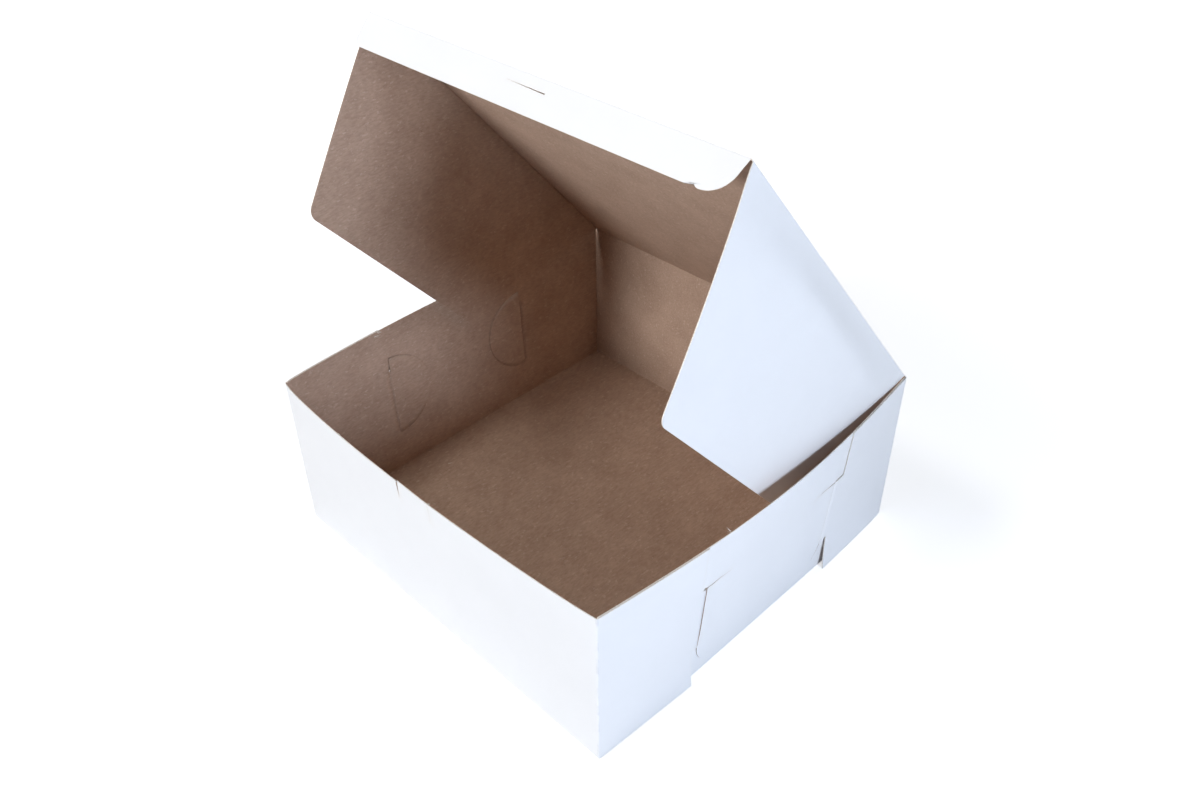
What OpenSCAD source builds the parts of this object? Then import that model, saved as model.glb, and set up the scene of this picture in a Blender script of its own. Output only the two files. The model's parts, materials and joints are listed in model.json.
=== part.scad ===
// A bakery box folded from one sheet of board, with a hinged lid.
// Millimetres. The box stands on z = 0, the front wall faces -y and the lid is hinged along the back wall.

/* [Box] */
// Outside width, from the face of one corner ear to the other
box_w = 254; // [220:1:300]
// Outside depth, front wall to back wall
box_d = 254; // [220:1:300]
// Height of the walls above the table
wall_h = 106; // [98:1:120]
// Thickness of the board
board = 0.5; // [0.4:0.05:0.7]
// Angle the lid stands open in the pose drawn
lid_open = 49.3; // [40:0.1:60]

/* [Bowed walls] */
// How far the middle of the front wall's top edge stands out
front_bow = 7; // [3:0.5:10]
// How far the middle of the right wall's top edge stands out
right_bow = 10.2; // [5:0.2:14]
// How far the middle of the left wall's top edge stands out
left_bow = 7; // [5:0.5:12]

/* [Corner ears] */
// Length of an ear along its bottom edge
ear_len = 67; // [62:1:68]
// Length of an ear along its top edge
ear_top_len = 61; // [54:1:61]
// How far an ear's lower end stands off the side wall
ear_flare = 3.6; // [0:0.2:5]
// Radius of the half-round tab on the ear's end
tab_r = 28.6; // [24:0.2:32]
// Distance from the corner to the slot that takes the tab
slot_at = 71.8; // [70.4:0.2:78]
// Length of the cut that runs from the top of the slot
slot_cut = 18; // [14:1:20]

/* [Front lock] */
// Width of the lock tab in the middle of the front wall
lock_w = 25.4; // [20:0.2:40]
// Depth of the two slits beside the lock tab
lock_h = 12.7; // [8:0.1:16]

/* [Lid] */
// Depth of the tuck flap on the lid's front edge
tuck_h = 19; // [15:0.5:24]
// Radius of the tuck flap's lower corners
tuck_r = 12; // [6:0.5:14]
// Distance from the lid's fold to the tuck flap's slit
tuck_slit_at = 6.5; // [5:0.1:8]
// How far the side flaps' front edges lean back, in mm for each mm of depth
flap_front_lean = 0.385; // [0.3:0.005:0.5]
// How far the side flaps' rear edges lean forward, in mm for each mm of depth
flap_rear_lean = 0.51; // [0.45:0.01:0.6]
// Radius of the side flaps' two free corners
flap_r = 8; // [4:1:12]

/* [Hidden] */
// Air between two layers of board that lie together
lay_gap = 0.2;
// Air between parts that fold past each other
fold_gap = 0.15;
// Air between the lid's flaps and the walls they slide down inside
flap_gap = 0.4;
// Air between the side flaps' free edges and the floor panel, with the lid closed
floor_gap = 1;
// Air above the walls' top edges, with the lid closed
top_gap = 0.15;
// Air between a side wall's ends and the front and back walls
end_gap = 0.2;
// Air between the side flaps' front edges and the tuck flap, and beyond the tuck flap's own ends
tuck_room = 1;
tuck_end_gap = 0.4;
// How much narrower each end of the tuck flap is at its free edge
tuck_taper = 3;
// Width of a die-cut slit
cut_w = 0.6;
// Width of the slot that the ear's tab passes through
slot_w = 2;
// Air between the tab's neck and the slot's edges
slot_air = 0.1;
// How far the slot's lower end turns towards the middle of the wall
slot_hook = 5;
// How high the ears' bottom edges stand off the table
ear_lift = 0.3;
// Where the half-round tab's centre sits, as a share of the wall's height
tab_mid = 0.522;
// Height from the tab's lower end to the top of the slot, as a share of the tab's diameter
slot_share = 0.83;
// Gap at the rear corners of the lid, where the folds meet
corner_hole = 3;
// Half of the angle that the drawn part of the half-round tab spans
tab_sweep = 80;
// How far the front wall's fullest point lies towards its left end: 1 is the middle
front_skew = 0.85;
// How full the bows are: 1 is a sine, and less is flatter in the middle
front_full = 0.7;
right_full = 1;
left_full = 0.7;

// Where the board is drawn as bent: distances from a corner along the ears and along the front and back
// walls, distances from the middle of a side wall, and one point part way along the slot's cut
ear_bends = [3, 9, 18, 30, 45];
corner_bends = [4, 12, 24, 40, 60, 85];
mid_bends = [0, 11];
cut_bend = 12;
// Steps in the half-round tab's outline, the small rounds on fold edges and the flaps' corners
tab_steps = 8;
round_steps = 6;
corner_steps = 8;

half_w = box_w / 2;
half_d = box_d / 2;
hinge_y = half_d - board / 2;
hinge_z = wall_h + board / 2 + top_gap;
lid_end = board / 2 + fold_gap;
wall_out = half_w - board - lay_gap;
wall_end = half_d - board - end_gap;
flap_out = wall_out - board - flap_gap;
flap_axis = flap_out - board;
lid_len = hinge_y + half_d - board - fold_gap * 2;
tuck_axis = lid_len - board / 2;
flap_h = hinge_z - board - floor_gap;
flap_fold = lid_len - board - tuck_room;
tab_z = wall_h * tab_mid;
slot_low = tab_z - tab_r;
slot_high = slot_low + 2 * tab_r * slot_share;
slot_y = half_d - slot_at;
slot_half = slot_w / 2;
tab_from = slot_at + slot_half + slot_air;

// Heights that both the walls and the ears are drawn through
heights = [0, slot_low - cut_w, slot_low, tab_z, slot_high, slot_high + cut_w, wall_h - lock_h, wall_h];
low_row = 2;
high_row = 4;
top_row = len(heights) - 1;

// Angles that round off the back wall's top edge, which the lid turns about
cap_angles = [0, 30, 60, 82];

// Distances from the corner along one ear: the ear, its neck through the slot, then the half-round tab
ear_cols = concat(ear_bends, [ear_top_len, ear_len, slot_at - slot_half + slot_air, slot_at + slot_half - slot_air],
    [for (i = [0 : tab_steps]) tab_from + tab_r * sin(tab_sweep * i / tab_steps)]);
ear_last = len(ear_cols) - 1;
top_col = len(ear_bends);
lip_col = top_col + 1;
tab_col = lip_col + 3;

// Positions along a side wall, in step with the ears that lie against it
half_rows = concat(mid_bends, [slot_y - slot_cut, slot_y - cut_bend, slot_y - slot_hook],
    [slot_y - slot_half, slot_y + slot_half], [for (i = [lip_col : -1 : 0]) half_d - ear_cols[i]], [wall_end]);
side_rows = concat([for (i = [len(half_rows) - 1 : -1 : 1]) -half_rows[i]], half_rows);

// Positions along the front and back walls
half_cols = [for (t = corner_bends) half_w - t];
slit_cols = [lock_w / 2 + cut_w / 2, lock_w / 2 - cut_w / 2];
right_cols = concat([flap_axis], half_cols, slit_cols);
mid_cols = concat([for (x = right_cols) -x], [0], [for (i = [len(right_cols) - 1 : -1 : 0]) right_cols[i]]);

// The blank's grid. A column is [0, x] across the box, or [side, k] beyond its side: k = 0 is the side
// wall's fold, 1 the corner's fold on an ear and 2 on its first column, while a side wall's height goes
// by k. A row is [0, y] along the box, or [end, j] up the front wall (end = -1) or back wall (end = 1).
last_k = ear_last + 2;
cols = concat([for (k = [last_k : -1 : 0]) [-1, k]], [for (x = mid_cols) [0, x]], [for (k = [0 : last_k]) [1, k]]);
back_rows = top_row + len(cap_angles);
rows = concat([for (j = [top_row : -1 : 0]) [-1, j]], [for (y = side_rows) [0, y]],
    [for (j = [0 : back_rows]) [1, j]]);

// Where a wall's outer face stands beyond its fold line, at share s along it and k of its height
function bow(size, full, s, k) = size * pow(max(0, sin(180 * s)), full) * min(1, k);
function side_bow(side, y, z) = bow(side > 0 ? right_bow : left_bow, side > 0 ? right_full : left_full,
    (y + half_d) / box_d, z / wall_h);
function front_bow_at(x, z) = bow(front_bow, front_full, pow(max(0, (x + half_w) / box_w), front_skew), z / wall_h);

// How far the outer face of an ear stands beyond the side wall's outer face
function ear_off(end, along, z) = board + lay_gap
    + ear_flare * (1 - min(1, z / wall_h)) * pow(min(1, along / ear_len), end > 0 ? 0.5 : 1);

// The same for the neck and the tab, which pass through the slot and lie inside the wall
function neck_off(end, c, z) = c == lip_col ? ear_off(end, ear_cols[c], z) * 0.5 + (board + lay_gap) * 0.5
    : c == lip_col + 1 ? board + lay_gap : -board - lay_gap;

// Height of row j at ear column c: on the tab the rows between the slot's ends follow its round outline
function ear_z(c, j) = let(
        z = heights[min(j, top_row)],
        half = tab_r * cos(asin(min(1, max(0, (ear_cols[c] - tab_from) / tab_r)))))
    c < tab_col ? (j == 0 ? ear_lift : z)
    : tab_z - half + 2 * half * (z - slot_low) / (slot_high - slot_low);

function ear_pt(side, end, c, j, depth) = let(
        y = end * (half_d - ear_cols[c]), z = ear_z(c, j),
        off = c <= top_col || c == lip_col && j < low_row ? ear_off(end, ear_cols[c], z) : neck_off(end, c, z))
    [side * (wall_out + side_bow(side, y, z) + off - depth * board), y, z];

// A point on the front or back wall. Depth 0 is the outer face and 1 the inner.
function wall_pt(end, x, j, depth) = let(
        a = j > top_row ? cap_angles[j - top_row - 1] : 0,
        z = j > top_row ? hinge_z + board / 2 * sin(a) : heights[j],
        thin = j > top_row ? board / 2 * (1 - cos(a)) : 0,
        out = half_d + (end < 0 ? front_bow_at(x, z) : 0))
    [x, end * (out - depth * board - thin * (1 - 2 * depth)), j == 0 ? depth * board : z];

function blank_pt(col, row, depth) = let(side = col[0], k = col[1], end = row[0], j = row[1])
    end == 0 ? (
        side == 0 ? [k, j, depth * board]
        : k == 0 ? [side * (wall_out - depth * board), j, depth * board]
        : let(z = heights[min(k, top_row)]) [side * (wall_out + side_bow(side, j, z) - depth * board), j, z])
    : side == 0 ? wall_pt(end, k, j, depth)
    : k == 0 ? wall_pt(end, side * (wall_out - depth * board), j, depth)
    : k == 1 ? [side * (half_w - depth * board), end * (half_d - depth * board),
        j == 0 ? ear_lift : j > top_row ? wall_h + j / 100 : heights[j]]
    : ear_pt(side, end, k - 2, j, depth);

function near(a, b) = abs(a - b) < 0.001;

// Is there board in the side wall's cell between heights k - 1 and k, and between positions y0 and y1?
function side_has(k, y0, y1) = let(a = min(abs(y0), abs(y1)), b = max(abs(y0), abs(y1)))
    k <= top_row
    && !(near(a, slot_y - slot_half) && near(b, slot_y + slot_half) && k > low_row && k <= high_row)
    && !(b < slot_y + slot_half + 0.01 && (k == high_row + 1 && a > slot_y - slot_cut - 0.01
        || k == low_row && a > slot_y - slot_hook - 0.01));

// The same for the ears, between ear columns c - 1 and c and above row j
function ear_has(c, j) = c <= top_col ? j < top_row
    : c == lip_col ? j < high_row
    : j >= low_row && j < high_row;

// The same for the front and back walls. Two slits free the lock tab in the front wall's top edge.
function wall_has(end, k, x0, x1, j) = j < (end > 0 && k < 0 ? back_rows : top_row)
    && !(end < 0 && k < 0 && j == top_row - 1 && (near(min(abs(x0), abs(x1)), slit_cols[1])
        && near(max(abs(x0), abs(x1)), slit_cols[0])));

function cell_has(c0, c1, r0, r1) = let(
        k = c0[0] == 0 && c1[0] == 0 ? -1 : max(c0[0] == 0 ? 0 : c0[1], c1[0] == 0 ? 0 : c1[1]))
    r0[0] != r1[0] ? k <= 0
    : r0[0] == 0 ? (k <= 0 || side_has(k, r0[1], r1[1]))
    : k <= 1 ? wall_has(r0[0], k, c0[1], c1[1], min(r0[1], r1[1]))
    : ear_has(k - 2, min(r0[1], r1[1]));

// Board that lies against board is split along the same diagonals, so that the faces stay apart
function cell_turned(c0, r0, r1) = c0[0] != 0
    && (r0[0] == 0 ? c0[0] * (r0[1] + r1[1]) > 0 : c0[0] * r0[0] < 0);

// The blank, folded: every kept cell has an outer and an inner face, and edges where its neighbour is cut away
module folded_blank() {
    ni = len(cols);
    nj = len(rows);
    m = ni * nj;
    keep = [for (i = [0 : ni - 2]) [for (j = [0 : nj - 2]) cell_has(cols[i], cols[i + 1], rows[j], rows[j + 1])]];
    function has(i, j) = i >= 0 && j >= 0 && i < ni - 1 && j < nj - 1 && keep[i][j];
    points = [for (depth = [0, 1]) for (c = cols) for (r = rows) blank_pt(c, r, depth)];
    faces = [for (i = [0 : ni - 2]) for (j = [0 : nj - 2]) if (keep[i][j])
        let(a = i * nj + j, b = a + nj, c = b + 1, d = a + 1)
            each concat(
                cell_turned(cols[i + (cols[i][0] == 0 ? 1 : 0)], rows[j], rows[j + 1])
                    ? [[a, b, d], [b, c, d], [a + m, d + m, b + m], [b + m, d + m, c + m]]
                    : [[a, b, c], [a, c, d], [a + m, c + m, b + m], [a + m, d + m, c + m]],
                has(i, j - 1) ? [] : [[a, a + m, b + m], [a, b + m, b]],
                has(i, j + 1) ? [] : [[c, c + m, d + m], [c, d + m, d]],
                has(i - 1, j) ? [] : [[d, d + m, a + m], [d, a + m, a]],
                has(i + 1, j) ? [] : [[b, b + m, c + m], [b, c + m, c]])];
    polyhedron(points = points, faces = faces, convexity = 8);
}

module tray() {
    color("white") folded_blank();
}

// Puts something drawn with the lid closed, its fold at the origin, into the pose drawn
module lid_place() {
    translate([0, hinge_y, hinge_z]) rotate([-lid_open, 0, 0]) children();
}

module lid() {
    side = [for (i = [0 : round_steps]) let(a = 90 * i / round_steps)
        [flap_axis + board * sin(a), -board / 2 + board * cos(a)]];
    profile = concat(side, [for (i = [round_steps : -1 : 0]) [-side[i][0], side[i][1]]]);
    color("white") lid_place()
        translate([0, -lid_end, 0]) rotate([90, 0, 0])
            linear_extrude(height = tuck_axis - 2 * lid_end) polygon(profile);
}

// Points that round the corner at p between the edges from a and to b
function rounded(a, p, b, r) = let(
        u = (a - p) / norm(a - p), v = (b - p) / norm(b - p),
        half = acos(u * v) / 2, reach = r / tan(half),
        c = p + (u + v) / norm(u + v) * r / sin(half),
        s = p + u * reach - c, e = p + v * reach - c,
        a0 = atan2(s[1], s[0]), turn = atan2(e[1], e[0]) - a0,
        sweep = turn > 180 ? turn - 360 : turn < -180 ? turn + 360 : turn)
    [for (i = [0 : corner_steps]) let(a = a0 + sweep * i / corner_steps) c + r * [cos(a), sin(a)]];

module side_flap(side) {
    top = board / 2 + fold_gap / 2;
    low = board / 2 + flap_h;
    rear_top = [-corner_hole, -top];
    front_top = [-flap_fold, -top];
    rear_low = [-corner_hole - flap_rear_lean * low, -low];
    front_low = [-flap_fold + flap_front_lean * low, -low];
    outline = concat([rear_top], rounded(rear_top, rear_low, front_low, flap_r),
        rounded(rear_low, front_low, front_top, flap_r), [front_top]);
    lid_place() translate([side > 0 ? flap_axis : -flap_out, 0, 0]) rotate([90, 0, 90])
        linear_extrude(height = board) polygon(outline);
}

module left_flap() {
    color("white") side_flap(-1);
}

module right_flap() {
    color("white") side_flap(1);
}

tuck_half = flap_axis - tuck_end_gap;

module tuck_flap() {
    top_l = [-tuck_half, board];
    top_r = [tuck_half, board];
    low_l = [tuck_taper - tuck_half, -tuck_h];
    low_r = [tuck_half - tuck_taper, -tuck_h];
    outline = concat([top_l], rounded(top_l, low_l, low_r, tuck_r), rounded(low_l, low_r, top_r, tuck_r), [top_r]);
    section = concat([for (i = [0 : round_steps]) let(a = 180 * i / round_steps) board / 2 * [cos(a), sin(a)]],
        [[-board / 2, -tuck_h - 1], [board / 2, -tuck_h - 1]]);
    color("white") lid_place() translate([0, -tuck_axis, 0]) difference() {
        intersection() {
            translate([0, board, 0]) rotate([90, 0, 0]) linear_extrude(height = 2 * board) polygon(outline);
            translate([-half_w, 0, 0]) rotate([90, 0, 90]) linear_extrude(height = box_w) polygon(section);
        }
        translate([-lock_w / 2, -board, -tuck_slit_at - cut_w / 2]) cube([lock_w, 2 * board, cut_w]);
    }
}

tray();
lid();
left_flap();
right_flap();
tuck_flap();
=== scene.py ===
"""An open bakery box, folded from one sheet of board that is white outside and brown inside.

Blender works in metres. The named sizes of the board are in millimetres, as in the part's source.
"""
import json
import math

import bpy
import numpy as np
from mathutils import Matrix, Vector


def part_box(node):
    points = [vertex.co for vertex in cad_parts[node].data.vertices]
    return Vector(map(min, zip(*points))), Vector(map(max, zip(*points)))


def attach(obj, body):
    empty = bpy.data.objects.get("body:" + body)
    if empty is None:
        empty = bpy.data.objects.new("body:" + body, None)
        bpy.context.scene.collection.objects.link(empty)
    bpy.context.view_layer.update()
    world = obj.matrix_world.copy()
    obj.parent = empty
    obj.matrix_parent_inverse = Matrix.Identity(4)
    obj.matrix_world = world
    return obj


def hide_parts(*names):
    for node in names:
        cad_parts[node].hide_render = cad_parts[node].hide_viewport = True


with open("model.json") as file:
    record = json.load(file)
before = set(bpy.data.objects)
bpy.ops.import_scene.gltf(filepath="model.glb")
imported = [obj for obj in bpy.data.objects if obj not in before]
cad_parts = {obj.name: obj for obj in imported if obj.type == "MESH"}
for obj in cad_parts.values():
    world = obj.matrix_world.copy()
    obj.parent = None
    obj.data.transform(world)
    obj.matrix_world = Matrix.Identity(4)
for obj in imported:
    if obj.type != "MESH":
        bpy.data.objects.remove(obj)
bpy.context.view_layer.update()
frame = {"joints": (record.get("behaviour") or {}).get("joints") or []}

MM = 0.001

# Camera

# Place in metres and angles in degrees that line the box's corners up with the photo, and the lens in mm
CAMERA_AT = (0.3599, -0.3580, 0.4846)
CAMERA_AZIMUTH = 44.91
CAMERA_ELEVATION = 37.41
CAMERA_ROLL = -0.42
CAMERA_LENS = 32.9


def add_camera():
    azimuth, elevation = math.radians(CAMERA_AZIMUTH), math.radians(CAMERA_ELEVATION)
    back = Vector((math.sin(azimuth) * math.cos(elevation), -math.cos(azimuth) * math.cos(elevation),
                   math.sin(elevation)))
    right = Vector((0, 0, 1)).cross(back).normalized()
    turned = Matrix((right, back.cross(right), back)).transposed().to_4x4()
    data = bpy.data.cameras.new("camera")
    data.sensor_width = 36
    data.lens = CAMERA_LENS
    camera = bpy.data.objects.new("camera", data)
    camera.matrix_world = (Matrix.Translation(CAMERA_AT) @ turned
                           @ Matrix.Rotation(math.radians(CAMERA_ROLL), 4, "Z"))
    bpy.context.scene.collection.objects.link(camera)
    bpy.context.scene.camera = camera


add_camera()

# Sizes of the board, mm

BOARD = 0.5
WALL_H = 106.0
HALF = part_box("tray")[1].y / MM  # centre to the back wall's outer face, and to an ear's fold
LAY_GAP = 0.2
FRONT_BOW, RIGHT_BOW, LEFT_BOW = 7.0, 10.2, 7.0
FRONT_FULL, RIGHT_FULL, LEFT_FULL = 0.7, 1.0, 0.7
FRONT_SKEW = 0.85
EAR_LEN, EAR_TOP_LEN = 67.0, 63.5
EAR_FLARE, EAR_FLARE_H = 3.6, 32.0
EAR_LIFT = 0.3
TAB_R = 28.6
SLOT_AT = 71.8
SLOT_HALF = 0.5
SLOT_AIR = 0.05
SLOT_CUT = 18.0
HOOK_OUT, HOOK_DROP = 5.5, 15.0
CUT_W = 0.6
CUT_SHUT = 0.1  # share of its width that a slit keeps at its far end
LIP, LIP_LEN = 0.6, 14.0  # how far the tab behind a slot's edge pushes the wall out, and over what length
LOCK_W, LOCK_H = 25.4, 12.7
LOCK_IN = 0.5  # how far the lock tab's loose corner leans in
TUCK_H, TUCK_R_LEFT, TUCK_R_RIGHT, TUCK_SLIT_AT = 19.0, 6.0, 13.0, 6.5
TUCK_TAPER, TUCK_END_GAP = 3.0, 0.4
NOTCH_AT, NOTCH_HALF, NOTCH_IN = 106.5, 3.6, 1.5  # a small round notch in the tuck flap's free edge
NOTCH_FADE = 6.0  # how far above the edge the grid gives way to the notch
FRONT_LEAN_LEFT, FRONT_LEAN_RIGHT, REAR_LEAN = 0.34, 0.43, 0.51
FLAP_R = 8.0
FLAP_BEND, FLAP_BEND_H = 0.74, 22.0  # share of a bowed wall's room that a flap takes, and by what depth
FLAP_REAR, FLAP_REAR_BEND = 30.0, 0.86  # the flaps' ends near the back wall lie closer to the side walls
CORNER_HOLE = 0.5
FOLD_R = 0.8  # outside of the rounded folds at the floor and at the corners
WISP_SEED, WISP_R = 7, 0.16
WISP_STEPS = (0, 0.25, 0.5, 0.75, 1)
LEFT_NICK, RIGHT_NICK, FRONT_NICK = -59.0, -42.0, -66.0  # places of the nicks along the rims
SPECK_AT = (-105.0, -36.0)

WALL_OUT = HALF - BOARD - LAY_GAP
FLAP_AXIS = WALL_OUT - 2 * BOARD - 0.4
TAB_Z = WALL_H * 0.522
SLOT_LOW = TAB_Z - TAB_R
SLOT_HIGH = SLOT_LOW + 2 * TAB_R * 0.83
SLOT_Y = HALF - SLOT_AT
TAB_FROM = SLOT_AT + SLOT_HALF + SLOT_AIR

joints = {j["name"]: j for j in frame["joints"]}
HINGE = np.array(joints["lid_hinge"]["pos_m"]) / MM
LID_ALONG = np.array(joints["left_flap_fold"]["axis"])
LID_UP = np.array([0, LID_ALONG[2], -LID_ALONG[1]])
TUCK_AXIS = float((np.array(joints["tuck_flap_fold"]["pos_m"]) / MM - HINGE) @ LID_ALONG)
FLAP_H = HINGE[2] - BOARD - 1.0
FLAP_FOLD = TUCK_AXIS - BOARD / 2 - 1.0


def bow(size, full, share, rise):
    return size * max(0.0, math.sin(math.pi * share)) ** full * min(1.0, rise)


def side_bow(side, y, z):
    size, full = (RIGHT_BOW, RIGHT_FULL) if side > 0 else (LEFT_BOW, LEFT_FULL)
    return bow(size, full, min(1.0, max(0.0, (y + HALF) / (2 * HALF))), z / WALL_H)


def front_bow(x, z):
    return bow(FRONT_BOW, FRONT_FULL, min(1.0, max(0.0, (x + HALF) / (2 * HALF))) ** FRONT_SKEW, z / WALL_H)


def ear_off(end, along, z):
    """How far an ear's outer face stands beyond the side wall's outer face."""
    reach = min(1.0, along / EAR_LEN) ** (0.5 if end > 0 else 1)
    return BOARD + LAY_GAP + EAR_FLARE * max(0.0, 1 - z / EAR_FLARE_H) ** 1.5 * reach


def steps(low, high, step, marks=()):
    """Places from low to high, no further apart than step, with every mark among them."""
    stops = sorted({low, high, *[m for m in marks if low < m < high]})
    made = [stops[0]]
    for a, b in zip(stops, stops[1:]):
        n = max(1, math.ceil((b - a) / step - 1e-6))
        made += [a + (b - a) * i / n for i in range(1, n + 1)]
    return made


def within(value, low, high):
    return low - 1e-6 <= value <= high + 1e-6


# Pieces of board

WHITE, BROWN, EDGE = 0, 1, 2
boards = []


def board_piece(name, body, outer, inner, keep, fold=None, painted_shade_rims=None):
    """One closed piece of board from a grid of points for its white face and one for its brown face.

    keep says which cells of the grids are board, fold which points lie on a fold, and the last argument which
    cells have cut edges of plain brown, painted shade for the dark lines of the slits and of the tabs'
    outlines.
    """
    ni, nj = outer.shape[:2]
    back = ni * nj
    padded = np.pad(keep, 1)
    faces, kinds = [], []
    for i, j in np.argwhere(keep):
        a = int(i * nj + j)
        b, c, d = a + nj, a + nj + 1, a + 1
        faces += [(a, d, c, b), (a + back, b + back, c + back, d + back)]
        kinds += [WHITE, BROWN]
        for there, p, q in ((padded[i + 1, j], a, b), (padded[i + 1, j + 2], c, d),
                            (padded[i, j + 1], d, a), (padded[i + 2, j + 1], b, c)):
            if not there:
                faces.append((p, q, q + back, p + back))
                # Rims of the marked cells take the brown face's colour as painted shade
                kinds.append(BROWN if painted_shade_rims is not None and painted_shade_rims[i, j] else EDGE)
    points = np.concatenate([outer.reshape(-1, 3), inner.reshape(-1, 3)]) * MM
    used = np.unique(np.array([v for f in faces for v in f]))
    place = np.full(len(points), -1)
    place[used] = np.arange(len(used))
    mesh = bpy.data.meshes.new(name)
    mesh.from_pydata(points[used].tolist(), [], [[int(place[v]) for v in f] for f in faces])
    mesh.polygons.foreach_set("material_index", kinds)
    mesh.shade_smooth()
    sharp = mesh.attributes.new("sharp_edge", "BOOLEAN", "EDGE")
    kinds_at = {}
    for polygon in mesh.polygons:
        for key in polygon.edge_keys:
            kinds_at.setdefault(key, set()).add(polygon.material_index)
    sharp.data.foreach_set("value", [len(kinds_at[e.key]) > 1 for e in mesh.edges])
    # How near each point is to a cut edge and to a fold, for the wear along cut edges and the painted crease
    # shade along folds in the materials
    whole = padded[:-1, :-1] & padded[1:, :-1] & padded[:-1, 1:] & padded[1:, 1:]
    for label, values in (("cut_wear", (~whole).astype(float)),
                          ("fold_shade_mask", np.zeros((ni, nj)) if fold is None else fold)):
        both = np.concatenate([values.ravel(), values.ravel()])[used]
        mesh.attributes.new(label, "FLOAT", "POINT").data.foreach_set("value", both)
    piece = bpy.data.objects.new(name, mesh)
    bpy.context.scene.collection.objects.link(piece)
    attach(piece, body)
    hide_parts(body)
    boards.append(piece)
    return piece


# Tray

# Angles through a rounded fold, and round the back wall's top edge, which the lid turns about
FOLD_TURN = [0, 18, 36, 54, 72, 90]
CAP_TURN = [0, 20, 40, 60, 80]

# Heights up the walls above the fold, which the ears share
rise = steps(FOLD_R, WALL_H, 4, [2.4, 5, SLOT_LOW - HOOK_DROP, SLOT_LOW - CUT_W, SLOT_LOW, TAB_Z, SLOT_HIGH,
                                 SLOT_HIGH + CUT_W, WALL_H - LOCK_H, WALL_H - 3, WALL_H - 1.2])
# Distances from the corner along an ear
tab_cols = [TAB_FROM + TAB_R * math.sin(math.radians(a)) for a in range(0, 89, 8)]
ear_cols = steps(FOLD_R, SLOT_AT - SLOT_HALF + SLOT_AIR, 3,
                 [2.2, EAR_TOP_LEN - 1.2, EAR_TOP_LEN, EAR_LEN - 1.2, EAR_LEN])
ear_cols += [TAB_FROM - 2 * SLOT_AIR] + tab_cols
# Places along a side wall and along the front and back walls
slot_rows = [SLOT_Y - SLOT_CUT, SLOT_Y - 8, SLOT_Y - SLOT_HALF, SLOT_Y - CUT_W / 2, SLOT_Y + CUT_W / 2,
             SLOT_Y + SLOT_HALF, SLOT_Y + 12]
floor_y = steps(FOLD_R - HALF, HALF - FOLD_R, 4, [s * y for y in [*slot_rows, HALF - 3] for s in (-1, 1)])
slit_x = [LOCK_W / 2 - CUT_W / 2, LOCK_W / 2 + CUT_W / 2]
floor_x = steps(FOLD_R - WALL_OUT, WALL_OUT - FOLD_R, 4.5,
                [s * x for x in [*slit_x, FLAP_AXIS, HALF - 4] for s in (-1, 1)])

turns = len(FOLD_TURN) - 1
# Beyond the floor panel a wall has its fold's steps and then its heights, and an ear has its corner's steps
# and then its lengths
wall_last = turns + len(rise) - 1
ear_first = 1 + turns
ear_last = ear_first + len(ear_cols) - 1
cols = ([(-1, k) for k in range(ear_last, 0, -1)] + [(0, x) for x in floor_x]
        + [(1, k) for k in range(1, ear_last + 1)])
back_last = wall_last + len(CAP_TURN)
rows = ([(-1, j) for j in range(wall_last, 0, -1)] + [(0, y) for y in floor_y]
        + [(1, j) for j in range(1, back_last + 1)])


def rounded_fold(k, depth):
    """How far a fold step or a height above it stands out from the fold's start, and its height."""
    if k <= turns:
        a = math.radians(FOLD_TURN[k])
        r = FOLD_R - depth * BOARD
        return r * math.sin(a), FOLD_R - r * math.cos(a)
    return FOLD_R - depth * BOARD, rise[k - turns]


def end_point(end, x, j, depth):
    """A point on the front or back wall."""
    if j > wall_last:
        a = math.radians(CAP_TURN[j - wall_last - 1])
        face = 1 - 2 * depth
        return [x, HINGE[1] + face * BOARD / 2 * math.cos(a), HINGE[2] + BOARD / 2 * math.sin(a)]
    out, z = rounded_fold(j, depth)
    up = max(0.0, (z - WALL_H + LOCK_H) / LOCK_H)
    aside = abs(x) - LOCK_W / 2
    if end < 0 and abs(aside) < CUT_W:
        # The left slit stands open at the top, the right one is almost shut
        aside *= 0.05 + (0.75 if x < 0 else 0.1) * up
        x = math.copysign(LOCK_W / 2 + aside, x)
    if end < 0 and aside < 0:
        out -= LOCK_IN * up * (0.5 - x / LOCK_W)
    return [x, end * (HALF - FOLD_R + out + (front_bow(x, z) if end < 0 else 0)), z]


def side_point(side, y, k, depth):
    """A point on a side wall. The rows by the slot follow its lower end, which curls towards the middle."""
    out, z = rounded_fold(k, depth)
    below = min(1.0, max(0.0, SLOT_LOW - z) / HOOK_DROP)
    aside = abs(y) - SLOT_Y
    if abs(aside) < CUT_W and z < SLOT_LOW + 1e-6:
        aside *= (1 - (1 - CUT_SHUT) * below) * (1 if side > 0 else 0.05)
    aside -= HOOK_OUT * below ** 2 * max(0.0, 1 - abs(aside) / 12)
    y = math.copysign(SLOT_Y + aside, y) if abs(aside) < 12 else y
    if aside < 0:
        share = max(0.0, 1 + aside / LIP_LEN) * min(1.0, max(0.0, 1.5 - abs(z - TAB_Z) / TAB_R))
        out += LIP * share * share * (3 - 2 * share)
    if abs(z - SLOT_HIGH - CUT_W) < 0.01:
        z -= CUT_W * (1 - CUT_SHUT) * min(1.0, max(0.0, -aside / SLOT_CUT))
    return [side * (WALL_OUT - FOLD_R + out + side_bow(side, y, z)), y, z]


def ear_height(j, along):
    if j <= turns:
        return EAR_LIFT + (FOLD_R - EAR_LIFT) * j / turns
    z = rise[min(j, wall_last) - turns]
    if along < TAB_FROM - 1e-6:
        return z
    half = math.sqrt(max(0.0, TAB_R ** 2 - (along - TAB_FROM) ** 2))
    return TAB_Z - half + 2 * half * (z - SLOT_LOW) / (SLOT_HIGH - SLOT_LOW)


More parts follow.
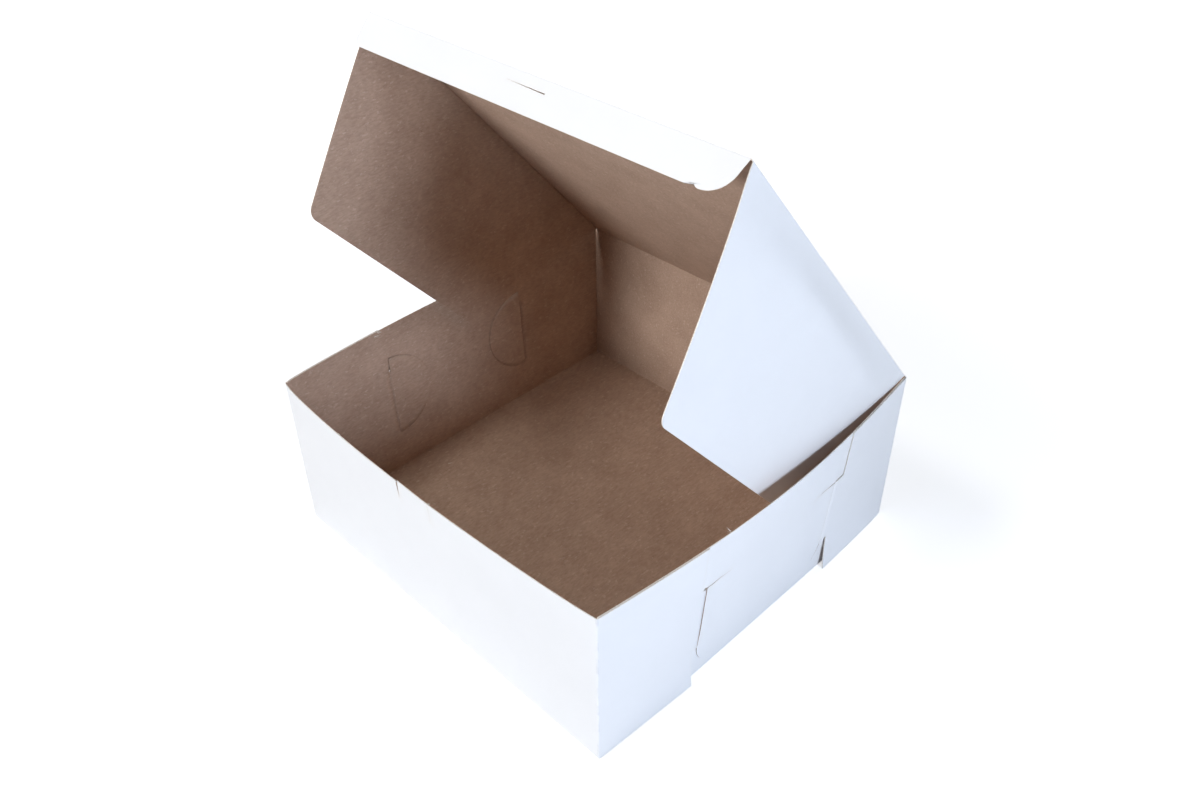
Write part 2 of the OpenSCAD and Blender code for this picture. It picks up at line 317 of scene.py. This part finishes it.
def ear_point(side, end, k, j, depth):
    """A point on an ear, its neck through the slot or its half-round tab, or on the corner's fold."""
    if k <= ear_first:
        a = math.radians(FOLD_TURN[k - 1])
        r = FOLD_R - depth * BOARD
        x, y, z = HALF - FOLD_R + r * math.sin(a), HALF - FOLD_R + r * math.cos(a), ear_height(j, 0)
        return [side * x, end * (y + (front_bow(side * x, z) if end < 0 else 0)), z]
    along = ear_cols[k - ear_first]
    z = ear_height(j, along)
    y = end * (HALF - along)
    if along < SLOT_AT - SLOT_HALF:
        off = ear_off(end, along, z)
    else:
        off = (BOARD + LAY_GAP) * (1 if along < SLOT_AT else -1)
    return [side * (WALL_OUT + side_bow(side, y, z) + off - depth * BOARD), y, z]


def tray_point(col, row, depth):
    side, k = col
    end, j = row
    if side == 0 and end == 0:
        return [k, j, depth * BOARD]
    if side == 0:
        return end_point(end, k, j, depth)
    if end == 0:
        return side_point(side, j, min(k, wall_last), depth)
    return ear_point(side, end, k, j, depth)


def side_kept(k, y0, y1):
    low, high = min(abs(y0), abs(y1)), max(abs(y0), abs(y1))
    if k > wall_last:
        return False
    if k <= turns + 1:
        return True
    z0, z1 = rise[k - turns - 1], rise[k - turns]
    in_slot = within(low, SLOT_Y - SLOT_HALF, 999) and within(high, 0, SLOT_Y + SLOT_HALF)
    in_hook = within(low, SLOT_Y - CUT_W / 2, 999) and within(high, 0, SLOT_Y + CUT_W / 2)
    in_cut = within(low, SLOT_Y - SLOT_CUT, 999) and within(high, 0, SLOT_Y + SLOT_HALF)
    return not (in_slot and within(z0, SLOT_LOW, 999) and within(z1, 0, SLOT_HIGH)
                or in_hook and within(z0, SLOT_LOW - HOOK_DROP, 999) and within(z1, 0, SLOT_LOW)
                or in_cut and within(z0, SLOT_HIGH, 999) and within(z1, 0, SLOT_HIGH + CUT_W))


def ear_kept(end, k, j):
    """k is the farther column of the cell and j its higher row."""
    if k <= ear_first:
        return j <= wall_last
    along = ear_cols[k - ear_first]
    top = rise[j - turns] if turns < j <= wall_last else 0
    if j > wall_last:
        return False
    if along <= EAR_TOP_LEN + 1e-6 or end < 0 and along < SLOT_AT - SLOT_HALF and top > SLOT_LOW + 1e-6:
        return True
    if along <= EAR_LEN + 1e-6:
        return top <= SLOT_HIGH + 1e-6
    return j > turns and within(rise[j - turns - 1], SLOT_LOW, 999) and top <= SLOT_HIGH + 1e-6


def cell_kept(c0, c1, r0, r1):
    side, end = c0[0] or c1[0], r0[0] or r1[0]
    k = max(c[1] if c[0] else 0 for c in (c0, c1))
    j = max(r[1] if r[0] else 0 for r in (r0, r1))
    if end == 0:
        return side == 0 or side_kept(k, r0[1], r1[1])
    if side:
        return j > 1 and ear_kept(end, k, j)
    near, far = sorted((abs(c0[1]), abs(c1[1])))
    if j > wall_last:
        return end > 0 and within(far, 0, FLAP_AXIS)
    in_slit = end < 0 and within(near, *slit_x) and within(far, *slit_x)
    return not (in_slit and j > turns and within(rise[j - turns - 1], WALL_H - LOCK_H, WALL_H))


def add_tray():
    outer, inner = (np.array([[tray_point(c, r, depth) for r in rows] for c in cols]) for depth in (0, 1))
    keep = np.array([[cell_kept(c0, c1, r0, r1) for r0, r1 in zip(rows, rows[1:])]
                     for c0, c1 in zip(cols, cols[1:])])
    folded = [[(0 < k < ear_first if side else False) or (0 < j < turns if end else False)
               for end, j in rows] for side, k in cols]
    # Cut edges painted plain brown round the tabs, along the slots and beside the lock slits: painted shade for
    # their dark lines
    tab = np.array([side != 0 and k >= ear_last - len(tab_cols) for side, k in cols[:-1]])
    painted_shade_rims = tab[:, None] & np.array([end != 0 for end, j in rows[:-1]])
    near_slot = np.array([end == 0 and abs(abs(y) - SLOT_Y) < SLOT_CUT for end, y in rows[:-1]])
    in_height = np.array([side != 0 and turns < k < wall_last - 2 for side, k in cols[:-1]])
    near_slit = np.array([side == 0 and abs(abs(x) - LOCK_W / 2) < 6 for side, x in cols[:-1]])
    at_front = np.array([end < 0 and j < wall_last for end, j in rows[:-1]])
    painted_shade_rims |= in_height[:, None] & near_slot | near_slit[:, None] & at_front
    board_piece("tray_board", "tray", outer, inner, keep, np.array(folded, float), painted_shade_rims)


add_tray()

# Lid and its flaps


def lid_place(points):
    """Points drawn as [x, distance from the hinge, height above the lid's middle], put into the open pose."""
    points = np.asarray(points, float)
    across = points[..., :1] * np.array([1.0, 0, 0])
    return HINGE + across + points[..., 1:2] * LID_ALONG + points[..., 2:] * LID_UP


# A child's end of a fold is a hair slimmer or wider than its parent's, so that they share no surface
SLIM, WIDE = 0.96, 1.04
CAP_IN = 0.03


def add_lid():
    half = BOARD / 2
    cap = [(half * math.sin(math.radians(a)), math.cos(math.radians(a))) for a in CAP_TURN]
    along = ([(-u * WIDE, c * WIDE) for u, c in reversed(cap)]
             + [(u, 1.0) for u in steps(1, TUCK_AXIS - 1, 5, [3, TUCK_AXIS - 3])]
             + [(TUCK_AXIS + u * SLIM, c) for u, c in cap])
    across = steps(-FLAP_AXIS, FLAP_AXIS, 5, [3 - FLAP_AXIS, FLAP_AXIS - 3])
    edge = [math.radians(a) for a in (15, 30, 45, 60, 75, 90)]
    grids = []
    for radius, top in ((BOARD, half), (CAP_IN, CAP_IN - half)):
        profile = [(x, top) for x in across]
        right = [(FLAP_AXIS + radius * math.sin(a), -half + radius * math.cos(a)) for a in edge]
        profile = [(-x, n) for x, n in reversed(right)] + profile + right
        grids.append(lid_place([[[x, u, n * c] for u, c in along] for x, n in profile]))
    outer, inner = grids
    inner_flat = slice(len(edge), len(edge) + len(across))
    inner[inner_flat] = lid_place([[[x, u, -half * c] for u, c in along] for x in across])
    keep = np.ones((outer.shape[0] - 1, outer.shape[1] - 1), bool)
    # The lid's outer face looks the other way round the grid than the tray's does
    board_piece("lid_board", "lid", outer[::-1], inner[::-1], keep)


def corner_in(depth, low, radius, lean):
    """How far an edge has come in at a depth, where it leans and ends in a round corner at the low edge."""
    slant = math.hypot(1, lean)
    middle = lean * (low - radius) + radius * slant  # where the round's centre lies
    down = depth - (low - radius)
    if down * slant <= radius * lean:
        return lean * depth
    return middle - math.sqrt(max(0.0, radius ** 2 - down ** 2))


def flap_bend(side, u, depth):
    """How far a side flap stands out at a point, within what the bowed wall leaves free with the lid closed."""
    room = side_bow(side, HINGE[1] - u, max(0.0, HINGE[2] - depth))
    near_corner = max(0.0, 1 - u / FLAP_REAR)
    bend_h = FLAP_BEND_H * (1 - 0.7 * near_corner)
    share = min(1.0, max(0.0, depth / bend_h))
    return (FLAP_BEND + (FLAP_REAR_BEND - FLAP_BEND) * near_corner) * room * share * share * (3 - 2 * share)


def add_side_flap(side):
    half = BOARD / 2
    low = half + FLAP_H
    depths = steps(half + 0.3, low - FLAP_R - 4, 5) + [low - FLAP_R * (1 - math.sin(math.radians(a)))
                                                       for a in range(-20, 91, 10)]
    shares = np.array(steps(0, 1, 0.025, [0.004, 0.996]))
    body, front_lean = ("right_flap", FRONT_LEAN_RIGHT) if side > 0 else ("left_flap", FRONT_LEAN_LEFT)
    grids = []
    for radius, x in ((BOARD * SLIM, FLAP_AXIS + BOARD), (CAP_IN, FLAP_AXIS)):
        columns = []
        for share in shares:
            line = []
            u = CORNER_HOLE + share * (FLAP_FOLD - CORNER_HOLE)
            for a in reversed(FOLD_TURN):
                beyond, up = radius * math.cos(math.radians(a)), radius * math.sin(math.radians(a))
                line.append([side * (FLAP_AXIS + beyond), u, up - half])
            for depth in depths:
                rear = CORNER_HOLE + corner_in(depth, low, FLAP_R, REAR_LEAN)
                front = FLAP_FOLD - corner_in(depth, low, FLAP_R, front_lean)
                u = rear + share * (front - rear)
                line.append([side * (x + flap_bend(side, u, depth)), u, -depth])
            columns.append(line)
        grids.append(lid_place(columns))
    outer, inner = grids if side > 0 else [g[::-1] for g in grids]
    keep = np.ones((outer.shape[0] - 1, outer.shape[1] - 1), bool)
    board_piece(body + "_board", body, outer, inner, keep)


def add_tuck_flap():
    half = BOARD / 2
    reach = FLAP_AXIS - TUCK_END_GAP
    lean = TUCK_TAPER / TUCK_H
    slit = [TUCK_SLIT_AT - CUT_W / 2, TUCK_SLIT_AT + CUT_W / 2]
    round_depths = [TUCK_H - r * (1 - math.sin(math.radians(a))) for r in (TUCK_R_LEFT, TUCK_R_RIGHT)
                    for a in range(2, 90, 8)]
    round_depths = [d for d in round_depths if abs(d - TUCK_SLIT_AT) > CUT_W]
    depths = steps(0.01, TUCK_H, 2, slit + round_depths)
    edge_half = reach - corner_in(TUCK_H, TUCK_H, TUCK_R_RIGHT, lean)
    notch = [(NOTCH_AT + NOTCH_HALF * n / 5) / edge_half for n in range(-5, 6)]
    shares = steps(-1, 1, 0.025, [s * LOCK_W / 2 / reach for s in (-1, 1)] + [-0.996, 0.996] + notch)
    grids = []
    for depth_side in (1, -1):
        columns = []
        for share in shares:
            # The slit is nearly shut at its left end and opens towards its right end
            inside = 0.5 + share * reach / LOCK_W
            shut = CUT_W * (1 - max(CUT_SHUT, inside)) if within(inside, 0, 1) else 0
            line = [[share * reach, TUCK_AXIS + depth_side * half * math.cos(math.radians(a)),
                     half * math.sin(math.radians(a))] for a in reversed(CAP_TURN)]
            for depth in depths:
                width = reach - corner_in(depth, TUCK_H, TUCK_R_RIGHT if share > 0 else TUCK_R_LEFT, lean)
                low = depth - (shut if abs(depth - slit[1]) < 0.01 else 0)
                across = (share * edge_half - NOTCH_AT) / NOTCH_HALF
                if abs(across) < 1:
                    dip = NOTCH_IN * 0.5 * (1 + math.cos(math.pi * across))
                    low -= dip * max(0.0, 1 - (TUCK_H - depth) / NOTCH_FADE)
                line.append([share * width, TUCK_AXIS + depth_side * half, -low])
            columns.append(line)
        grids.append(lid_place(columns))
    outer, inner = grids
    keep = np.ones((outer.shape[0] - 1, outer.shape[1] - 1), bool)
    row = len(CAP_TURN) + min(range(len(depths)), key=lambda i: abs(depths[i] - slit[0]))
    for i, (a, b) in enumerate(zip(shares, shares[1:])):
        if within(max(abs(a), abs(b)), 0, LOCK_W / 2 / reach):
            keep[i, row] = False
    # The slit's cut edges painted plain brown: painted shade for its dark line
    painted_shade_rims = np.zeros_like(keep)
    painted_shade_rims[1:-1, row - 1:row + 2] = True
    board_piece("tuck_flap_board", "tuck_flap", outer[::-1], inner[::-1], keep[::-1], None, painted_shade_rims[::-1])


def wisp(points, radius):
    """A closed three-sided thread through points in mm, tapering to its far end."""
    points = [np.array(q, float) for q in points]
    verts, faces = [], []
    for n, here in enumerate(points):
        ahead = points[min(n + 1, len(points) - 1)] - points[max(n - 1, 0)]
        ahead /= np.linalg.norm(ahead)
        aside = np.cross(ahead, (0.3, 0.2, 0.93))
        aside /= np.linalg.norm(aside)
        other = np.cross(ahead, aside)
        r = radius * (1 - 0.85 * n / (len(points) - 1))
        for t in (0, 120, 240):
            verts.append(here + r * (aside * math.cos(math.radians(t)) + other * math.sin(math.radians(t))))
    for n in range(len(points) - 1):
        for t in range(3):
            a, b = 3 * n + t, 3 * n + (t + 1) % 3
            faces.append((a, b, b + 3, a + 3))
    last = len(verts) - 3
    return verts, [*faces, (2, 1, 0), (last, last + 1, last + 2)]


def add_wisps():
    """Torn fibres at the nicks that the cutting rule leaves in the rims, and a loose speck on the floor."""
    dice = np.random.default_rng(WISP_SEED)
    left, right = -WALL_OUT + BOARD, WALL_OUT - BOARD
    tufts = []
    for y, z, count in ((LEFT_NICK, WALL_H - 0.3, 9), (LEFT_NICK - 2, WALL_H - 2.6, 8)):
        tufts.append(((left - side_bow(-1, y, z) + 0.1, y, z), (0, 1, -0.15), (0.5, 0, 0), count, 2.6))
    rim = right + side_bow(1, RIGHT_NICK, WALL_H)
    tufts.append(((rim - 0.1, RIGHT_NICK, WALL_H - 0.2), (-0.7, -0.3, 0.5), (-0.4, 0, 0.3), 3, 2.4))
    for x, count in ((LOCK_W / 2, 5), (FRONT_NICK, 3)):
        y = -HALF - front_bow(x, WALL_H) + BOARD
        tufts.append(((x, y + 0.1, WALL_H - 0.2), (0.6, 0.5, -0.4), (0, 0.4, 0.1), count, 1.4))
    tufts.append(((SPECK_AT[0], SPECK_AT[1], BOARD + 0.15), (0.5, 0.8, 0), (0.1, 0, 0.05), 7, 2.0))
    verts, faces = [], []
    for at, way, bend, count, length in tufts:
        for _ in range(count):
            start = np.array(at) + dice.normal(0, 0.35, 3) * (1, 1, 0.3)
            turn = np.array(way) + dice.normal(0, 0.35, 3)
            size = length * dice.uniform(0.5, 1.0)
            path = [start + turn * size * t + np.array(bend) * size * t * t for t in WISP_STEPS]
            path = [np.array((q[0], q[1], max(q[2], BOARD + 0.1))) for q in path]
            new, sides = wisp(path, WISP_R)
            faces += [tuple(v + len(verts) for v in f) for f in sides]
            verts += [tuple(v * MM) for v in new]
    mesh = bpy.data.meshes.new("tray_fibres")
    mesh.from_pydata(verts, [], faces)
    mesh.polygons.foreach_set("material_index", [EDGE] * len(faces))
    piece = bpy.data.objects.new("tray_fibres", mesh)
    bpy.context.scene.collection.objects.link(piece)
    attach(piece, "tray")
    boards.append(piece)


add_wisps()
add_lid()
add_side_flap(-1)
add_side_flap(1)
add_tuck_flap()

# Materials


def new_material(name, roughness):
    material = bpy.data.materials.new(name)
    material.use_nodes = True
    shader = material.node_tree.nodes["Principled BSDF"]
    shader.inputs["Roughness"].default_value = roughness
    return material, material.node_tree, shader


def grain(tree, scale, detail=4.0, stretch=(1, 1, 1), roughness=0.6):
    """Noise in metres of the object's own space."""
    place = tree.nodes.new("ShaderNodeTexCoord")
    mapping = tree.nodes.new("ShaderNodeMapping")
    mapping.inputs["Scale"].default_value = stretch
    noise_node = tree.nodes.new("ShaderNodeTexNoise")
    noise_node.inputs["Scale"].default_value = scale
    noise_node.inputs["Detail"].default_value = detail
    noise_node.inputs["Roughness"].default_value = roughness
    tree.links.new(place.outputs["Object"], mapping.inputs["Vector"])
    tree.links.new(mapping.outputs["Vector"], noise_node.inputs["Vector"])
    return noise_node.outputs["Fac"]


def ramp(tree, source, stops):
    node = tree.nodes.new("ShaderNodeValToRGB")
    elements = node.color_ramp.elements
    while len(elements) < len(stops):
        elements.new(0.5)
    for element, (place, colour) in zip(elements, stops):
        element.position = place
        element.color = (*colour, 1)
    tree.links.new(source, node.inputs["Fac"])
    return node.outputs["Color"]


def mix(tree, share, a, b, kind="MIX"):
    node = tree.nodes.new("ShaderNodeMix")
    node.data_type = "RGBA"
    node.blend_type = kind
    for value, socket in ((share, node.inputs[0]), (a, node.inputs[6]), (b, node.inputs[7])):
        if isinstance(value, (int, float)):
            socket.default_value = value
        elif isinstance(value, tuple):
            socket.default_value = (*value, 1)
        else:
            tree.links.new(value, socket)
    return node.outputs[2]


def maths(tree, kind, a, b):
    node = tree.nodes.new("ShaderNodeMath")
    node.operation = kind
    for value, socket in ((a, node.inputs[0]), (b, node.inputs[1])):
        if isinstance(value, (int, float)):
            socket.default_value = value
        else:
            tree.links.new(value, socket)
    return node.outputs[0]


def bump(tree, shader, heights, distance):
    node = tree.nodes.new("ShaderNodeBump")
    node.inputs["Strength"].default_value = 1
    node.inputs["Distance"].default_value = distance
    tree.links.new(heights, node.inputs["Height"])
    tree.links.new(node.outputs["Normal"], shader.inputs["Normal"])


# Reads a point attribute: the cut-edge wear mask, or the fold mask that carries the painted crease shade
def wear_and_shade_mask(tree, label):
    node = tree.nodes.new("ShaderNodeAttribute")
    node.attribute_name = label
    return node.outputs["Fac"]


def white_face():
    """Clay-coated white liner: smooth, faintly cloudy, rubbed through to a cream tint along cut edges, with
    painted grey crease shade along the folds.
    """
    material, tree, shader = new_material("white_coated_board", 0.42)
    clouds = ramp(tree, grain(tree, 18), [(0.3, (0.88, 0.885, 0.895)), (0.7, (0.905, 0.91, 0.92))])
    rubbed = maths(tree, "MULTIPLY", wear_and_shade_mask(tree, "cut_wear"), maths(tree, "MULTIPLY", grain(tree, 900), 0.2))
    colour = mix(tree, rubbed, clouds, (0.80, 0.72, 0.60))
    # Painted crease shade: bluish grey dashes along the folds, broken up by noise like fine cracks
    crease_dashes = ramp(tree, grain(tree, 260, 5, (1, 1, 0.35)), [(0.48, (0, 0, 0)), (0.62, (1, 1, 1))])
    painted_crease_shade = maths(tree, "MULTIPLY", maths(tree, "MULTIPLY", wear_and_shade_mask(tree, "fold_shade_mask"), crease_dashes), 0.35)
    colour = mix(tree, painted_crease_shade, colour, (0.60, 0.62, 0.66))
    tree.links.new(colour, shader.inputs["Base Color"])
    bump(tree, shader, grain(tree, 500, 6), 0.00004)
    return material


def brown_face():
    """Bare recycled brown liner: soft mottling, fibres and a few dark and light flecks."""
    material, tree, shader = new_material("brown_board_face", 0.85)
    clouds = ramp(tree, grain(tree, 45, 6), [(0.3, (0.51, 0.36, 0.27)), (0.7, (0.605, 0.44, 0.34))])
    fibres = ramp(tree, grain(tree, 900, 5, (1, 0.3, 1)),
                  [(0.35, (0.82, 0.80, 0.78)), (0.65, (1.0, 1.0, 1.0))])
    colour = mix(tree, 1.0, clouds, fibres, "MULTIPLY")
    flecks = ramp(tree, grain(tree, 520, 3, (1, 0.55, 1)), [(0.60, (0, 0, 0)), (0.68, (1, 1, 1))])
    colour = mix(tree, maths(tree, "MULTIPLY", flecks, 0.5), colour, (0.72, 0.58, 0.48))
    dark = ramp(tree, grain(tree, 640, 3, (0.6, 1, 1)), [(0.64, (0, 0, 0)), (0.72, (1, 1, 1))])
    colour = mix(tree, maths(tree, "MULTIPLY", dark, 0.45), colour, (0.30, 0.20, 0.15))
    tree.links.new(colour, shader.inputs["Base Color"])
    bump(tree, shader, grain(tree, 1100, 6), 0.00008)
    return material


def cut_edge():
    """The board's cut edge: fibres between cream and brown."""
    material, tree, shader = new_material("board_cut_edge", 0.9)
    colour = ramp(tree, grain(tree, 1500, 4), [(0.35, (0.78, 0.69, 0.58)), (0.6, (0.93, 0.90, 0.84))])
    tree.links.new(colour, shader.inputs["Base Color"])
    bump(tree, shader, grain(tree, 2500, 4), 0.0001)
    return material


board_materials = [white_face(), brown_face(), cut_edge()]
for piece in boards:
    for material in board_materials:
        piece.data.materials.append(material)

# Floor, backdrop and light


GLOW_NEAR, GLOW_FAR = 0.6, 1.0  # what the floor adds for the camera, beside the box and away from it
FADE = (0.25, 0.7)  # metres from the box's middle between which the glow grows


def add_floor():
    """A pale floor that the camera sees as white, with the box's own soft shadow left on it."""
    mesh = bpy.data.meshes.new("floor")
    far = 6.0
    mesh.from_pydata([(-far, -far, 0), (far, -far, 0), (far, far, 0), (-far, far, 0)], [], [(0, 1, 2, 3)])
    floor = bpy.data.objects.new("floor", mesh)
    bpy.context.scene.collection.objects.link(floor)
    material = bpy.data.materials.new("floor_white")
    material.use_nodes = True
    tree = material.node_tree
    tree.nodes.remove(tree.nodes["Principled BSDF"])
    diffuse = tree.nodes.new("ShaderNodeBsdfDiffuse")
    diffuse.inputs["Color"].default_value = (0.82, 0.83, 0.85, 1)
    place = tree.nodes.new("ShaderNodeNewGeometry")
    away = tree.nodes.new("ShaderNodeVectorMath")
    away.operation = "LENGTH"
    tree.links.new(place.outputs["Position"], away.inputs[0])
    fade = tree.nodes.new("ShaderNodeMapRange")
    fade.interpolation_type = "SMOOTHSTEP"
    for name, value in zip(("From Min", "From Max", "To Min", "To Max"), (*FADE, GLOW_NEAR, GLOW_FAR)):
        fade.inputs[name].default_value = value
    tree.links.new(away.outputs["Value"], fade.inputs["Value"])
    path = tree.nodes.new("ShaderNodeLightPath")
    glow = tree.nodes.new("ShaderNodeEmission")
    tree.links.new(maths(tree, "MULTIPLY", path.outputs["Is Camera Ray"], fade.outputs["Result"]),
                   glow.inputs["Strength"])
    both = tree.nodes.new("ShaderNodeAddShader")
    tree.links.new(diffuse.outputs[0], both.inputs[0])
    tree.links.new(glow.outputs[0], both.inputs[1])
    tree.links.new(both.outputs[0], tree.nodes["Material Output"].inputs["Surface"])
    mesh.materials.append(material)


def add_backdrop(light, strength):
    """The world: white to the camera, a faint cool light to everything else."""
    world = bpy.data.worlds.new("world")
    bpy.context.scene.world = world
    world.use_nodes = True
    tree = world.node_tree
    soft = tree.nodes["Background"]
    soft.inputs["Color"].default_value = (*light, 1)
    soft.inputs["Strength"].default_value = strength
    white = tree.nodes.new("ShaderNodeBackground")
    white.inputs["Color"].default_value = (1, 1, 1, 1)
    path = tree.nodes.new("ShaderNodeLightPath")
    pick = tree.nodes.new("ShaderNodeMixShader")
    tree.links.new(path.outputs["Is Camera Ray"], pick.inputs[0])
    tree.links.new(soft.outputs[0], pick.inputs[1])
    tree.links.new(white.outputs[0], pick.inputs[2])
    tree.links.new(pick.outputs[0], tree.nodes["World Output"].inputs["Surface"])


def add_lamp(name, azimuth, elevation, distance, size, power, colour):
    """A round soft light aimed at the box from a direction in degrees, out of the camera's sight."""
    turn, up = math.radians(azimuth), math.radians(elevation)
    away = Vector((math.sin(turn) * math.cos(up), -math.cos(turn) * math.cos(up), math.sin(up)))
    data = bpy.data.lights.new(name, "AREA")
    data.shape = "DISK"
    data.size = size
    data.energy = power
    data.color = colour
    lamp = bpy.data.objects.new(name, data)
    lamp.location = Vector((0, 0, LAMP_AIM)) + distance * away
    lamp.rotation_euler = away.to_track_quat("Z", "Y").to_euler()
    lamp.visible_camera = False
    bpy.context.scene.collection.objects.link(lamp)


LAMP_AIM = 0.1
add_floor()
add_backdrop((0.75, 0.85, 1.0), 0.05)
add_lamp("key", -15, 22, 2.4, 0.8, 35.5, (0.99, 0.99, 1.0))
add_lamp("top", -35, 60, 0.9, 0.3, 2.35, (1.0, 0.99, 0.97))
add_lamp("side", 80, 12, 1.2, 0.35, 8.6, (0.78, 0.86, 1.0))
add_lamp("back", 180, 30, 2.4, 0.8, 11, (0.97, 0.98, 1.0))

bpy.context.scene.view_settings.view_transform = "Standard"
